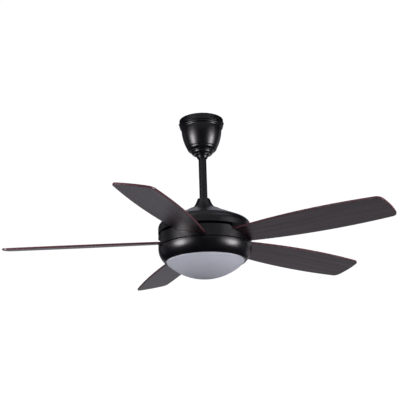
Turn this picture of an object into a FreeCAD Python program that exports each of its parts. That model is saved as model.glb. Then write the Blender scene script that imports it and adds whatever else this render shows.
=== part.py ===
import FreeCAD, Part

import math
import operator
import os

import Sketcher

# Ceiling fan with a light: a ball-hung downrod fan with five pitched blades on an
# outer-rotor motor and a round light kit below it.
# Row frame: origin on the ceiling plane at the fan's axis, +Z up, millimetres.
# Pieces near the ceiling are drawn from the ceiling plane; pieces of the motor and the
# light are drawn from the blade plane, where the blades' axes meet the fan's axis.

DRIVING_SIZES = [
    # alias, value, what it is
    ("blade_plane_depth", 428, "ceiling down to the blade plane"),
    ("sheet_wall", 1.2, "wall of the pressed and spun steel covers"),
    ("ceiling_gap", 1, "canopy rim below the ceiling"),
    ("canopy_rim_radius", 75.3, "canopy's top band, outside"),
    ("canopy_rim_bottom", 20, "canopy's top band, lower edge below the ceiling"),
    ("canopy_bead_radius", 73.4, "bead under the top band, outside"),
    ("bell_top_radius", 68.9, "canopy bell at its top"),
    ("bell_top_depth", 32, "canopy bell's top below the ceiling"),
    ("bell_bottom_radius", 51.9, "canopy bell at its bottom"),
    ("bell_bottom_depth", 99, "canopy bell's bottom below the ceiling"),
    ("bell_bow", 163.6, "curve of the bell's side"),
    ("canopy_mouth_radius", 38, "hole in the canopy's bottom flange"),
    ("cap_ring_radius", 50.4, "canopy cap's first ring, outside"),
    ("cap_second_radius", 36.4, "canopy cap's second ring, outside"),
    ("cap_collar_radius", 16.8, "canopy cap's collar, outside at its bottom"),
    ("cap_bottom_depth", 138, "canopy cap's bottom below the ceiling"),
    ("plate_thickness", 2.5, "hanger bracket's steel"),
    ("plate_arm_reach", 70, "hanger plate's long arm"),
    ("plate_arm_half_width", 20, "hanger plate's long arm, half its width"),
    ("plate_cross_reach", 52, "hanger plate's cross arm"),
    ("plate_cross_half_width", 14, "hanger plate's cross arm, half its width"),
    ("box_screw_offset", 40, "outlet-box slots from the axis"),
    ("box_slot_half_width", 2.75, "outlet-box slots, half their width"),
    ("box_slot_half_run", 4.75, "outlet-box slots, straight part from the centre"),
    ("wire_hole_radius", 9, "holes for the supply wires in the hanger plate"),
    ("wire_hole_offset", 28, "wire holes from the axis"),
    ("bracket_leg_inside", 45, "hanger legs' inner face from the axis"),
    ("bracket_leg_half_width", 15, "hanger legs, half their width"),
    ("ball_centre_depth", 88, "hanger ball's centre below the ceiling"),
    ("ball_radius", 27, "hanger ball"),
    ("ball_gap", 0.3, "socket clearance round the ball"),
    ("socket_radius", 33, "socket ring, outside"),
    ("socket_height", 18.6, "socket ring below the ball's centre"),
    ("key_radius", 3, "registration key's shank"),
    ("running_gap", 0.05, "radial clearance of a turning fit"),
    ("rod_radius", 13.35, "downrod, outside"),
    ("rod_bore_radius", 10.6, "downrod, inside"),
    ("rod_top_depth", 66, "downrod's top below the ceiling"),
    ("rod_seat_height", 112, "downrod's lower end above the blade plane"),
    ("cross_pin_radius", 3, "hanger ball's cross pin"),
    ("clevis_pin_radius", 3.2, "clevis pin through the motor yoke"),
    ("clevis_pin_height", 124, "clevis pin above the blade plane"),
    ("yoke_screw_height", 135, "yoke set screws above the blade plane"),
    ("yoke_tube_radius", 18.5, "motor yoke's socket, outside"),
    ("yoke_top_height", 142, "motor yoke's top above the blade plane"),
    ("yoke_flange_radius", 44, "motor yoke's flange"),
    ("housing_screw_pitch", 34, "housing screws through the yoke's flange, from the axis"),
    ("cover_base_radius", 36, "yoke cover at its base"),
    ("cover_top_radius", 20.6, "yoke cover at its top"),
    ("cover_base_height", 114.6, "yoke cover's base above the blade plane"),
    ("cover_top_height", 146, "yoke cover's top above the blade plane"),
    ("cover_bow", 95, "hollow curve of the yoke cover's side"),
    ("cap_plate_radius", 57, "housing cap's rim"),
    ("drum_radius", 153.6, "top housing, blade ring and light pan, outside"),
    ("housing_rim_height", 25.5, "top housing's lower edge above the blade plane"),
    ("housing_shoulder_height", 42, "top of the housing's upright side"),
    ("shoulder_bow", 25.4, "rounding of the housing's shoulder"),
    ("cone_base_radius", 139.2, "housing's cone at its foot"),
    ("cone_base_height", 64.9, "housing's cone foot above the blade plane"),
    ("cone_top_radius", 50, "housing's cone at its top"),
    ("cone_top_height", 107.4, "housing's cone top above the blade plane"),
    ("ring_top_height", 18, "blade ring's upper edge above the blade plane"),
    ("ring_bottom_height", -21, "blade ring's lower edge"),
    ("ring_wall", 2, "blade ring's upright wall"),
    ("ring_floor_height", -17.8, "top face of the blade ring's floor"),
    ("ring_floor_thickness", 2.4, "blade ring's floor"),
    ("slot_lead_in", -64, "blade slot's shallow end, across from the blade's axis"),
    ("slot_lead_foot", -48, "blade slot's lead-in foot"),
    ("slot_far_side", 48.2, "blade slot's steep side"),
    ("slot_drop", 6.5, "slot's floor under the blade axis at the drum"),
    ("slot_far_height", -8.1, "top of the slot's steep side, below the blade plane"),
    ("slot_lip_side", -28, "where the wall over the blade tapers out at the ring's upper edge"),
    ("blade_count", 5, "blades"),
    ("first_blade_angle", 181.2, "first blade's direction, anticlockwise from +X"),
    ("blade_pitch", 12.7, "blade's twist about its length, clockwise edge high"),
    ("blade_droop", 1.04, "blade tips' fall below level"),
    ("blade_thickness", 6, "blade board"),
    ("blade_root_radius", 106, "blade's inner end"),
    ("blade_root_half_width", 39.9, "blade's half width at its inner end"),
    ("blade_corner_radius", 652.8, "where a blade's edge would meet its end, from the axis"),
    ("blade_corner_half_width", 60.7, "blade's half width there"),
    ("blade_edge_bow", 2000, "curve of the blade's long edges"),
    ("blade_end_bow", 256, "curve of the blade's end"),
    ("blade_corner_round", 21, "rounding of the blade's corners"),
    ("blade_edge_round", 1, "easing of the blade's faces"),
    ("holder_inner", 108, "blade holder's inner end"),
    ("holder_outer", 146, "blade holder's outer end"),
    ("holder_half_width", 30, "blade holder, half its width"),
    ("holder_screw_inner", 112, "inner pair of holder screws from the axis"),
    ("holder_screw_outer", 142, "outer pair of holder screws from the axis"),
    ("holder_screw_spread", 24, "holder screws, either side of the blade's axis"),
    ("ring_screw_pitch", 95.5, "screws through the motor's flange, from the axis"),
    ("blade_screw_inner", 117, "inner pair of blade screws from the axis"),
    ("blade_screw_outer", 138, "outer blade screw from the axis"),
    ("blade_screw_spread", 18, "inner blade screws, either side of the blade's axis"),
    ("blade_screw_radius", 2.4, "blade screws"),
    ("washer_thickness", 0.8, "blade screw washers"),
    ("motor_radius", 92, "motor's covers, outside"),
    ("motor_wall", 3, "motor's cast covers"),
    ("motor_flange_radius", 100, "motor's bottom flange"),
    ("motor_top_height", 62, "motor's top face above the blade plane"),
    ("motor_split_height", 22, "joint between the motor's covers"),
    ("shaft_radius", 8.5, "motor shaft, outside"),
    ("shaft_bore_radius", 5, "motor shaft, inside"),
    ("shaft_top_height", 108, "motor shaft's top"),
    ("shaft_bottom_height", -36, "motor shaft's bottom"),
    ("bearing_radius", 20, "bearings, outside"),
    ("bearing_width", 12, "bearings"),
    ("race_wall", 2.6, "bearing races"),
    ("bearing_ball_radius", 3.2, "bearing balls"),
    ("bearing_ball_count", 8, "balls in a bearing"),
    ("upper_bearing_height", 46, "upper bearing's lower face"),
    ("lower_bearing_height", -12.8, "lower bearing's lower face"),
    ("stator_radius", 76, "stator"),
    ("air_gap", 0.8, "stator to rotor ring"),
    ("stator_low", 14, "stator core's lower face"),
    ("stator_high", 34, "stator core's upper face"),
    ("stator_slot_count", 18, "slots in the stator"),
    ("winding_overhang", 5, "windings beyond the core"),
    ("light_plate_top", -23, "light kit's fixing plate, upper face"),
    ("light_plate_thickness", 2, "light kit's fixing plate"),
    ("light_plate_radius", 112, "light kit's fixing plate"),
    ("pan_top_height", -23, "light pan's upper edge"),
    ("pan_bow", 59, "curve of the light pan's side"),
    ("pan_lip_height", -68, "light pan's lip"),
    ("pan_lip_radius", 134, "light pan's lip, outside"),
    ("pan_mouth_radius", 130.2, "light pan's mouth"),
    ("tray_height", -56, "light tray's top face"),
    ("tray_radius", 130, "light tray's rim, outside"),
    ("led_board_radius", 104, "LED board"),
    ("led_board_thickness", 1.6, "LED board"),
    ("shade_rim_radius", 127.5, "glass shade's rim"),
    ("shade_rim_top", -63, "glass shade's rim, upper face"),
    ("shade_rim_bottom", -68.6, "foot of the glass shade's upright rim"),
    ("shade_bow", 180, "curve of the glass shade's bowl"),
    ("shade_bottom", -124, "lowest point of the glass shade"),
    ("shade_wall", 3, "glass shade's wall"),
    ("shade_neck_radius", 123.7, "glass shade's neck, outside"),
    ("shade_neck_top", -58.4, "glass shade's neck, upper edge"),
    ("lug_radius", 127.9, "glass shade's lugs"),
    ("lug_half_angle", 12, "half the angle that a lug takes"),
    ("tab_half_angle", 15, "half the angle that a tray tab takes"),
]


class Size:
    """A length or angle: its number and the sheet expression that gives it."""

    def __init__(self, value, text):
        self.value = value
        self.text = text

    def __add__(self, other):
        return combined(operator.add, self, "+", other)

    def __radd__(self, other):
        return combined(operator.add, other, "+", self)

    def __sub__(self, other):
        return combined(operator.sub, self, "-", other)

    def __rsub__(self, other):
        return combined(operator.sub, other, "-", self)

    def __mul__(self, other):
        return combined(operator.mul, self, "*", other)

    def __rmul__(self, other):
        return combined(operator.mul, other, "*", self)

    def __truediv__(self, other):
        return combined(operator.truediv, self, "/", other)

    def __rtruediv__(self, other):
        return combined(operator.truediv, other, "/", self)

    def __neg__(self):
        return 0 - self


def as_size(number):
    return number if isinstance(number, Size) else Size(number, repr(number))


def combined(operation, left, sign, right):
    left, right = as_size(left), as_size(right)
    return Size(operation(left.value, right.value), f"({left.text} {sign} {right.text})")


def cosine(angle):
    angle = as_size(angle)
    return Size(math.cos(math.radians(angle.value)), f"cos({angle.text} * 1 deg)")


def sine(angle):
    angle = as_size(angle)
    return Size(math.sin(math.radians(angle.value)), f"sin({angle.text} * 1 deg)")


def tangent(angle):
    angle = as_size(angle)
    return Size(math.tan(math.radians(angle.value)), f"tan({angle.text} * 1 deg)")


doc = FreeCAD.newDocument("ceiling_fan")
sheet = doc.addObject("Spreadsheet::Sheet", "Sizes")
for row, (alias, number, meaning) in enumerate(DRIVING_SIZES, start=1):
    sheet.set(f"A{row}", alias)
    sheet.set(f"B{row}", str(number))
    sheet.setAlias(f"B{row}", alias)
    sheet.set(f"C{row}", meaning)
doc.recompute()


def size(alias):
    """The sheet's value under this alias."""
    return Size(float(sheet.get(alias)), f"Sizes.{alias}")


CEILING = as_size(0)
BLADE_PLANE = -size("blade_plane_depth")
BLADE_COUNT = int(size("blade_count").value)
BLADE_STEP = 360 / size("blade_count")
ROUND = 360
SUB_PARTS = []


# ---------------------------------------------------------------- drawing helpers

def vector(x, y, z=0):
    return FreeCAD.Vector(as_size(x).value, as_size(y).value, as_size(z).value)


def bind(target, path, amount):
    target.setExpression(path, as_size(amount).text)


def new_body(label, datum=CEILING, turn=0):
    """A body whose own zero height is the datum, turned about the fan's axis."""
    body = doc.addObject("PartDesign::Body", label)
    body.Label = label
    angle = as_size(turn)
    spin = FreeCAD.Rotation(FreeCAD.Vector(0, 0, 1), angle.value)
    body.Placement = FreeCAD.Placement(vector(0, 0, datum), spin)
    bind(body, "Placement.Base.z", datum)
    if angle.value:
        bind(body, "Placement.Rotation.Angle", angle)
    return body


def origin_feature(body, role):
    return next(item for item in body.Origin.OriginFeatures if item.Role == role)


def place_point(sketch, edge, end, x, y):
    """Ties one end of an edge to sheet-driven coordinates."""
    for kind, axis, amount in (("DistanceX", -2, as_size(x)), ("DistanceY", -1, as_size(y))):
        if amount.value == 0:
            sketch.addConstraint(Sketcher.Constraint("PointOnObject", edge, end, axis))
            continue
        row = sketch.addConstraint(Sketcher.Constraint(kind, -1, 1, edge, end, amount.value))
        sketch.setExpression(f"Constraints[{row}]", amount.text)


def run_between(start, end, bow):
    """A straight run, or an arc of radius |bow| that bulges right (+) or left (-) of travel."""
    if bow is None:
        return Part.LineSegment(start, end)
    radius = abs(bow.value)
    chord = end - start
    rise = radius - math.sqrt(radius ** 2 - (chord.Length / 2) ** 2)
    side = FreeCAD.Vector(chord.y, -chord.x, 0).normalize()
    middle = (start + end) / 2 + side * math.copysign(rise, bow.value)
    return Part.Arc(start, middle, end)


def draw_loop(sketch, corners):
    """A closed loop. Each corner is (x, y) or (x, y, bow), the bow being of the run after it."""
    points = [vector(corner[0], corner[1]) for corner in corners]
    bows = [as_size(corner[2]) if len(corner) == 3 else None for corner in corners]
    edges, starts, ends = [], [], []
    for index, start in enumerate(points):
        end = points[(index + 1) % len(points)]
        edge = sketch.addGeometry(run_between(start, end, bows[index]), False)
        forward = sketch.getPoint(edge, 1).distanceToPoint(start) < 1e-6
        edges.append(edge)
        starts.append(1 if forward else 2)
        ends.append(2 if forward else 1)
    for index, edge in enumerate(edges):
        after = (index + 1) % len(edges)
        joint = Sketcher.Constraint("Coincident", edge, ends[index], edges[after], starts[after])
        sketch.addConstraint(joint)
    for index, edge in enumerate(edges):
        place_point(sketch, edge, starts[index], corners[index][0], corners[index][1])
        if bows[index] is not None:
            radius = abs(bows[index].value)
            row = sketch.addConstraint(Sketcher.Constraint("Radius", edge, radius))
            sketch.setExpression(f"Constraints[{row}]", f"abs({bows[index].text})")


def draw_circle(sketch, x, y, radius):
    circle = Part.Circle(vector(x, y), FreeCAD.Vector(0, 0, 1), as_size(radius).value)
    edge = sketch.addGeometry(circle, False)
    place_point(sketch, edge, 3, x, y)
    row = sketch.addConstraint(Sketcher.Constraint("Radius", edge, as_size(radius).value))
    sketch.setExpression(f"Constraints[{row}]", as_size(radius).text)


def rising(one, other):
    """Two coordinates, the lower one first."""
    return (one, other) if as_size(one).value < as_size(other).value else (other, one)


def rectangle(left, right, low, high):
    return [(left, low), (right, low), (right, high), (left, high)]


def new_sketch(body, plane, offset, loops, circles):
    sketch = body.newObject("Sketcher::SketchObject", body.Name + "_sketch")
    sketch.AttachmentSupport = [(origin_feature(body, plane), "")]
    sketch.MapMode = "FlatFace"
    if offset is not None:
        sketch.AttachmentOffset = FreeCAD.Placement(vector(0, 0, offset), FreeCAD.Rotation())
        bind(sketch, "AttachmentOffset.Base.z", offset)
    for loop in loops:
        draw_loop(sketch, loop)
    for circle in circles:
        draw_circle(sketch, *circle)
    return sketch


def revolve(body, loop):
    """Adds the loop, drawn as (radius, height), turned about the body's Z axis."""
    sketch = new_sketch(body, "XZ_Plane", None, [loop], [])
    feature = body.newObject("PartDesign::Revolution", body.Name + "_turned")
    feature.Profile = sketch
    feature.ReferenceAxis = (sketch, ["V_Axis"])
    feature.Angle = ROUND
    return feature


def pad(body, low, high, loops=(), circles=(), plane="XY_Plane"):
    """Adds a prism on a plane of the body, from low to high along the plane's normal."""
    feature = body.newObject("PartDesign::Pad", body.Name + "_pad")
    feature.Profile = new_sketch(body, plane, low, loops, circles)
    feature.Length = (as_size(high) - low).value
    bind(feature, "Length", as_size(high) - low)
    return feature


def cut(body, low, high, loops=(), circles=(), plane="XY_Plane"):
    """Takes a prism away, and makes sure that it really removes material."""
    doc.recompute()
    before = body.Shape.Volume
    feature = body.newObject("PartDesign::Pocket", body.Name + "_cut")
    feature.Profile = new_sketch(body, plane, low, loops, circles)
    feature.Reversed = True
    feature.Length = (as_size(high) - low).value
    bind(feature, "Length", as_size(high) - low)
    doc.recompute()
    if not body.Shape.Volume < before - 1e-3:
        raise RuntimeError(f"{feature.Label} of {body.Label} removes nothing")
    return feature


def repeat(body, features, count):
    """Repeats features round the body's Z axis; the body then ends in the pattern."""
    pattern = body.newObject("PartDesign::PolarPattern", body.Name + "_pattern")
    pattern.Originals = features
    pattern.Axis = (origin_feature(body, "Z_Axis"), [""])
    pattern.Angle = ROUND
    pattern.Occurrences = int(as_size(count).value)
    bind(pattern, "Occurrences", count)
    body.Tip = pattern
    doc.recompute()
    return pattern


def circle_row(count, pitch_radius, radius, start_angle=0):
    """Circles evenly spaced on a pitch circle."""
    step = ROUND / count
    return [(pitch_radius * cosine(start_angle + step * index),
             pitch_radius * sine(start_angle + step * index), radius) for index in range(count)]


def keep(item):
    """Marks an object as a sub-part of the fan."""
    SUB_PARTS.append(item)
    return item


def screws(label, datum, spots, tip, seat, radius, head_radius, head_height):
    """Upright screws with round socket heads, whose heads stand beyond the seat."""
    body = new_body(label, datum)
    outward = 1 if as_size(seat).value > as_size(tip).value else -1
    top, recess = seat + outward * head_height, seat + outward * head_height * 0.4
    pad(body, *rising(tip, seat), circles=[(x, y, radius) for x, y in spots])
    pad(body, *rising(seat, top), circles=[(x, y, head_radius) for x, y in spots])
    cut(body, *rising(recess, top), circles=[(x, y, head_radius * 0.45) for x, y in spots])
    return keep(body)


def spots_on(count, pitch_radius, start_angle=0):
    return [(x, y) for x, y, _ in circle_row(count, pitch_radius, 1, start_angle)]


def drill(body, spots, radius, low, high):
    return cut(body, low, high, circles=[(x, y, radius) for x, y in spots])


# ---------------------------------------------------------------- ceiling mount

WALL = size("sheet_wall")
BALL_LEVEL = -size("ball_centre_depth")
CANOPY_SCREW_DEPTH = 12
CANOPY_SCREW_RADIUS = 2
HOUSING_SPOTS = spots_on(4, size("housing_screw_pitch"), 45)


def hanger_bracket():
    body = new_body("hanger_bracket")
    arm, arm_half = size("plate_arm_reach"), size("plate_arm_half_width")
    cross, cross_half = size("plate_cross_reach"), size("plate_cross_half_width")
    thick = size("plate_thickness")
    plate = [(arm, -arm_half), (arm, arm_half), (cross_half, arm_half), (cross_half, cross),
             (-cross_half, cross), (-cross_half, arm_half), (-arm, arm_half), (-arm, -arm_half),
             (-cross_half, -arm_half), (-cross_half, -cross), (cross_half, -cross),
             (cross_half, -arm_half)]
    pad(body, -thick, CEILING, loops=[plate])
    inside, half = size("bracket_leg_inside"), size("bracket_leg_half_width")
    foot_top = BALL_LEVEL - 6
    foot_start = size("socket_radius") - 3
    tab_bottom = -20
    for side in (1, -1):
        outer, inner = side * (inside + thick), side * inside
        start, tab = side * foot_start, side * (arm - thick)
        pad(body, foot_top - thick, -thick, loops=[rectangle(*rising(inner, outer), -half, half)])
        pad(body, foot_top - thick, foot_top, loops=[rectangle(*rising(start, outer), -half, half)])
        pad(body, tab_bottom, -thick, loops=[rectangle(*rising(tab, side * arm), -8, 8)])
    seat = size("ball_radius") + size("ball_gap")
    drop = size("socket_height")
    throat = Size(math.sqrt(seat.value ** 2 - drop.value ** 2),
                  f"sqrt({seat.text} * {seat.text} - {drop.text} * {drop.text})")
    revolve(body, [(throat, BALL_LEVEL - drop), (size("socket_radius"), BALL_LEVEL - drop),
                   (size("socket_radius"), BALL_LEVEL), (seat, BALL_LEVEL, -seat)])
    pad(body, BALL_LEVEL - 7, BALL_LEVEL + 7, loops=[rectangle(foot_start, foot_start + 8, -7, 7)])
    cut(body, BALL_LEVEL - drop - 1, BALL_LEVEL + 1,
        loops=[rectangle(-(size("rod_radius") + 1.2), size("rod_radius") + 1.2,
                         -(size("socket_radius") + 1), -5)])
    slot, run = size("box_slot_half_width"), size("box_slot_half_run")
    reach = size("box_screw_offset")
    end = slot * 1.001
    slots = [[(slot, y - run), (slot, y + run, end), (-slot, y + run), (-slot, y - run, end)]
             for y in (reach, -reach)]
    wire_holes = [(side * size("wire_hole_offset"), 0, size("wire_hole_radius")) for side in (1, -1)]
    cut(body, -thick - 1, 1, loops=slots, circles=wire_holes)
    cut(body, size("ball_radius") - 1, foot_start + 9, plane="YZ_Plane",
        circles=[(0, BALL_LEVEL, size("key_radius") + size("running_gap"))])
    cut(body, -arm - 1, arm + 1, plane="YZ_Plane",
        circles=[(0, -CANOPY_SCREW_DEPTH, CANOPY_SCREW_RADIUS)])
    return keep(body)


def canopy():
    """Spun steel bell with a plain band, a bead and a flange round its mouth."""
    body = new_body("canopy")
    rim, bead = size("canopy_rim_radius"), size("canopy_bead_radius")
    top, bottom = size("bell_top_radius"), size("bell_bottom_radius")
    top_level, low_level = -size("bell_top_depth"), -size("bell_bottom_depth")
    band = -size("canopy_rim_bottom")
    mouth, bow = size("canopy_mouth_radius"), size("bell_bow")
    revolve(body, [
        (rim - WALL, -size("ceiling_gap")), (rim - WALL, band + 4),
        (bead - 1.2 - WALL, band - 1.5), (top - WALL, top_level, -bow),
        (bottom - WALL, low_level), (mouth, low_level), (mouth, low_level - WALL),
        (bottom - 0.7, low_level - WALL, 1.2), (bottom, low_level, bow),
        (top, top_level), (top + 0.6, band - 10.2), (bead - 1, band - 8.4, 3.2),
        (bead - 1.2, band - 3.4), (rim - 3.2, band - 2.2), (rim - 0.6, band - 0.6, 0.8),
        (rim, band), (rim, -size("ceiling_gap") - 0.6, 0.8), (rim - 0.6, -size("ceiling_gap"))])
    cut(body, -rim - 1, rim + 1, plane="YZ_Plane",
        circles=[(0, -CANOPY_SCREW_DEPTH, CANOPY_SCREW_RADIUS)])
    return keep(body)


def canopy_cap():
    """Turned cap under the bell: two rounded rings and a collar round the rod."""
    body = new_body("canopy_cap")
    seat = -size("bell_bottom_depth") - WALL
    first, second = size("cap_ring_radius"), size("cap_second_radius")
    collar, foot = size("cap_collar_radius"), -size("cap_bottom_depth")
    revolve(body, [
        (first - 2.6, seat), (first - 4.2, seat), (first - 5.2, seat - 4), (second - 2, foot + 22.4),
        (collar + 5, foot + 12), (collar - 1, foot + 4), (collar - 1, foot), (collar - 0.4, foot, 1),
        (collar + 0.4, foot + 1.6), (collar + 3.2, foot + 7, 14), (collar + 7.6, foot + 12.4),
        (second - 9, foot + 12.8, 9.5), (second, foot + 21.6), (second + 1.4, foot + 22.4, 2),
        (second + 2.4, foot + 24.2), (first - 9.6, foot + 25), (first - 8, foot + 26.4, 12),
        (first, seat - 1.4), (first - 2.6, seat - 1.2)])
    return keep(body)


def canopy_screws():
    """Two round-head screws through the canopy's band into the bracket's tabs."""
    body = new_body("canopy_screws")
    rim = size("canopy_rim_radius")
    tip, head = size("plate_arm_reach") - 6, 1.8
    for low, high, face in ((tip, rim, rim + head), (-rim, -tip, -rim - head)):
        pad(body, low, high, plane="YZ_Plane",
            circles=[(0, -CANOPY_SCREW_DEPTH, CANOPY_SCREW_RADIUS)])
        pad(body, *rising(face, rim if face.value > 0 else -rim), plane="YZ_Plane",
            circles=[(0, -CANOPY_SCREW_DEPTH, 3.8)])
    for low, high in ((rim + 0.8, rim + 3), (-rim - 3, -rim - 0.8)):
        cut(body, low, high, plane="YZ_Plane",
            loops=[rectangle(-2.6, 2.6, -CANOPY_SCREW_DEPTH - 0.4, -CANOPY_SCREW_DEPTH + 0.4)])
    return keep(body)


def remote_receiver():
    """Slim plastic box between the bracket's legs, with a lid line and wire ports."""
    body = new_body("remote_receiver")
    pad(body, -42, -20, loops=[rectangle(-42, 42, -21, 21)])
    pad(body, -20, -18.4, loops=[rectangle(-40.5, 40.5, -19.5, 19.5)])
    cut(body, -34, -28, loops=[rectangle(-43, -39, -9, 9), rectangle(39, 43, -9, 9)])
    return keep(body)


def hanger_key():
    """Registration key: turns in the bracket's boss, and its tongue slides in the ball's slot."""
    body = new_body("hanger_key", BALL_LEVEL)
    boss_face = size("socket_radius") + 5.2
    pad(body, size("ball_radius") + 1.2, boss_face, plane="YZ_Plane",
        circles=[(0, 0, size("key_radius"))])
    pad(body, boss_face, boss_face + 2.2, plane="YZ_Plane", circles=[(0, 0, 5)])
    pad(body, size("ball_radius") - 4, size("ball_radius") + 1.2, plane="YZ_Plane",
        loops=[rectangle(-2, 2, -2, 2)])
    return keep(body)


# ---------------------------------------------------------------- downrod and yoke

def hanger_ball():
    body = new_body("hanger_ball", BALL_LEVEL)
    ball, bore = size("ball_radius"), size("rod_radius")
    top = Size(math.sqrt(ball.value ** 2 - bore.value ** 2) - 1.5,
               f"(sqrt({ball.text} * {ball.text} - {bore.text} * {bore.text}) - 1.5)")
    lip = Size(math.sqrt(ball.value ** 2 - top.value ** 2),
               f"sqrt({ball.text} * {ball.text} - {top.text} * {top.text})")
    revolve(body, [(bore, -top), (lip, -top, ball), (lip, top), (bore, top)])
    cut(body, ball - 5, ball + 1, plane="YZ_Plane", loops=[rectangle(-2.1, 2.1, -3.4, 3.4)])
    cut(body, -ball - 1, ball + 1, plane="XZ_Plane", circles=[(0, 0, size("cross_pin_radius"))])
    cut(body, -ball - 1, -bore + 1, plane="YZ_Plane", circles=[(0, 8, 2.5)])
    return keep(body)


def ball_cross_pin():
    body = new_body("ball_cross_pin", BALL_LEVEL)
    reach = size("ball_radius") - 1.5
    pad(body, -reach, reach, plane="XZ_Plane", circles=[(0, 0, size("cross_pin_radius"))])
    return keep(body)


def ball_set_screw():
    body = new_body("ball_set_screw", BALL_LEVEL)
    pad(body, -size("ball_radius") + 2, -size("rod_radius"), plane="YZ_Plane", circles=[(0, 8, 2.5)])
    cut(body, -size("ball_radius") + 1, -size("ball_radius") + 5, plane="YZ_Plane",
        circles=[(0, 8, 1.4)])
    return keep(body)


def downrod():
    body = new_body("downrod")
    outer, bore = size("rod_radius"), size("rod_bore_radius")
    top, foot = -size("rod_top_depth"), BLADE_PLANE + size("rod_seat_height")
    revolve(body, [(bore, foot), (outer, foot), (outer, top), (bore, top)])
    cut(body, -outer - 1, outer + 1, plane="XZ_Plane",
        circles=[(0, BALL_LEVEL, size("cross_pin_radius"))])
    cut(body, -outer - 1, outer + 1, plane="YZ_Plane",
        circles=[(0, BLADE_PLANE + size("clevis_pin_height"), size("clevis_pin_radius"))])
    return keep(body)


def lead_wires():
    """Four insulated leads from above the rod down through the hollow shaft."""
    body = new_body("lead_wires", BLADE_PLANE)
    top = size("blade_plane_depth") - size("rod_top_depth") + 8
    low, narrow = size("shaft_bottom_height") - 6, size("rod_seat_height")
    wide = narrow + 8
    # in the rod the leads stand clear of both cross pins; they close up to enter the shaft
    rod_spot, shaft_spot = (4.6, 4.8, 1.3), (2.45, 2.45, 1.3)
    upper = pad(body, wide, top, circles=[rod_spot])
    lower = pad(body, low, narrow, circles=[shaft_spot])
    closing = body.newObject("PartDesign::AdditiveLoft", "lead_wires_closing")
    closing.Profile = new_sketch(body, "XY_Plane", wide, [], [rod_spot])
    closing.Sections = [new_sketch(body, "XY_Plane", narrow, [], [shaft_spot])]
    doc.recompute()
    repeat(body, [upper, lower, closing], 4)
    return keep(body)


def motor_yoke():
    """Cast socket for the rod, with the flange that carries the top housing."""
    body = new_body("motor_yoke", BLADE_PLANE)
    bore, tube = size("rod_radius"), size("yoke_tube_radius")
    flange, shaft = size("yoke_flange_radius"), size("shaft_radius")
    top, seat = size("yoke_top_height"), size("rod_seat_height")
    under = size("cone_top_height") - WALL
    revolve(body, [
        (size("shaft_bore_radius"), size("shaft_top_height")), (shaft, size("shaft_top_height")),
        (shaft, under - 16), (shaft + 7, under - 16), (shaft + 9, under - 5),
        (flange, under - 5), (flange, under), (tube, under), (tube, top - 1), (tube - 1, top),
        (bore, top), (bore, seat), (size("shaft_bore_radius"), seat)])
    drill(body, HOUSING_SPOTS, 2, under - 6, under + 1)
    cut(body, -tube - 1, tube + 1, plane="YZ_Plane",
        circles=[(0, size("clevis_pin_height"), size("clevis_pin_radius"))])
    cut(body, -tube - 1, tube + 1, plane="XZ_Plane", circles=[(0, size("yoke_screw_height"), 2.5)])
    return keep(body)


def clevis_pin():
    body = new_body("clevis_pin", BLADE_PLANE)
    level, tube = size("clevis_pin_height"), size("yoke_tube_radius")
    pad(body, -tube, tube + 6, plane="YZ_Plane", circles=[(0, level, size("clevis_pin_radius"))])
    pad(body, -tube - 2, -tube, plane="YZ_Plane", circles=[(0, level, 5)])
    cut(body, level - 5, level + 5, circles=[(tube + 3, 0, 1)])
    return keep(body)


def cotter_pin():
    """Split pin through the clevis pin's end, with a ring head."""
    x, level = size("yoke_tube_radius") + 3, BLADE_PLANE + size("clevis_pin_height")
    leg = doc.addObject("Part::Cylinder", "cotter_leg")
    ring = doc.addObject("Part::Torus", "cotter_ring")
    for item, path, amount in ((leg, "Radius", 0.95), (leg, "Height", 12), (ring, "Radius1", 2.4),
                               (ring, "Radius2", 0.8)):
        bind(item, path, amount)
    leg.Placement = FreeCAD.Placement(vector(x, 0, level - 7), FreeCAD.Rotation())
    stand = FreeCAD.Rotation(FreeCAD.Vector(0, 1, 0), 90)
    ring.Placement = FreeCAD.Placement(vector(x, 0, level + 6.8), stand)
    pin = doc.addObject("Part::MultiFuse", "cotter_pin")
    pin.Label = "cotter_pin"
    pin.Shapes = [leg, ring]
    return keep(pin)


def yoke_set_screws():
    body = new_body("yoke_set_screws", BLADE_PLANE)
    level, bore, tube = size("yoke_screw_height"), size("rod_radius"), size("yoke_tube_radius")
    pad(body, bore, tube + 1.8, plane="XZ_Plane", circles=[(0, level, 2.5)])
    pad(body, -tube - 1.8, -bore, plane="XZ_Plane", circles=[(0, level, 2.5)])
    cut(body, tube, tube + 3, plane="XZ_Plane", circles=[(0, level, 1.3)])
    cut(body, -tube - 3, -tube, plane="XZ_Plane", circles=[(0, level, 1.3)])
    return keep(body)


def yoke_cover():
    """Flared trumpet cover that hides the yoke, resting on the housing's cap."""
    body = new_body("yoke_cover", BLADE_PLANE)
    base, top = size("cover_base_radius"), size("cover_top_radius")
    low, high, hole = size("cover_base_height"), size("cover_top_height"), size("rod_radius") + 0.3
    bow = size("cover_bow")
    revolve(body, [
        (base - WALL, low), (base, low), (base, low + 1.2, -bow), (top + 0.8, high - 2.4, 2.6),
        (top - 1.6, high), (hole, high), (hole, high - WALL), (top - WALL - 0.4, high - WALL - 0.8, bow)])
    return keep(body)


# ---------------------------------------------------------------- top housing

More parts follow.
